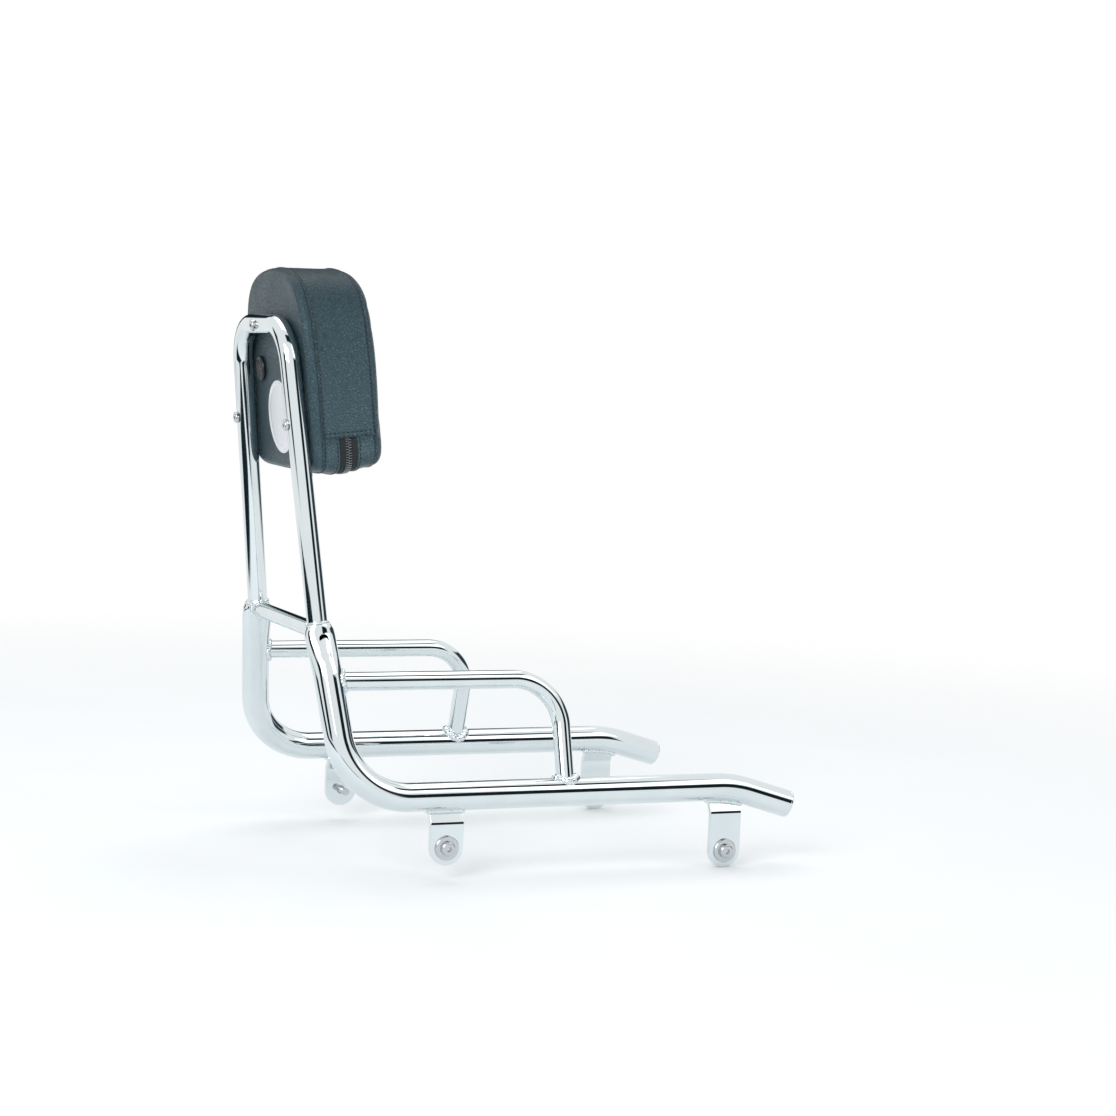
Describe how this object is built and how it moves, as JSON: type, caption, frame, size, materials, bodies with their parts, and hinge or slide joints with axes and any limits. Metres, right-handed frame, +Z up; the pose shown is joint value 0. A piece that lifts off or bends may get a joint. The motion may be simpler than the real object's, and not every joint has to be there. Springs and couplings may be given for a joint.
{
  "type": "motorcycle sissy bar with backrest",
  "caption": "Chromed tube sissy bar with a padded leather backrest on a hoop, side rails with grab handles and bolt-on tabs for the mudguard struts.",
  "frame": {"origin": "on the mid-plane, on the common axis of the two rear mounting bolts", "axes": "+X forward along the rails, +Y to the left, +Z up"},
  "size_m": [0.543, 0.339, 0.5875],
  "materials": {
    "chrome": "polished",
    "fastener_steel": "bright plated",
    "black_leather": "grained, satin",
    "foam": "open cell",
    "plywood": "plain",
    "zip_fabric": "woven tape",
    "badge_aluminium": "bare, satin",
    "plug_plastic": "moulded"
  },
  "bodies": {
    "root": {"backrest_hoop": "chrome", "right_side_tube": "chrome", "left_side_tube": "chrome", "cross_tube": "chrome", "right_grab_handle": "chrome", "left_grab_handle": "chrome", "rail_end_caps": "chrome", "right_front_tab": "chrome", "right_rear_tab": "chrome", "left_front_tab": "chrome", "left_rear_tab": "chrome", "hoop_foot_welds": "chrome", "cross_tube_welds": "chrome", "handle_welds": "chrome", "tab_welds": "chrome", "mounting_bolts": "fastener_steel", "mounting_washers": "fastener_steel", "pad_screws": "fastener_steel", "pad_tee_nuts": "fastener_steel", "pad_back_panel": "black_leather", "pad_band": "black_leather", "pad_zip_gusset": "black_leather", "pad_front_panel": "black_leather", "pad_foam": "foam", "pad_board": "plywood", "zip_chain": "zip_fabric", "zip_slider": "fastener_steel", "pad_badge": "badge_aluminium", "pad_plugs": "plug_plastic"}
  },
  "joints": []
}
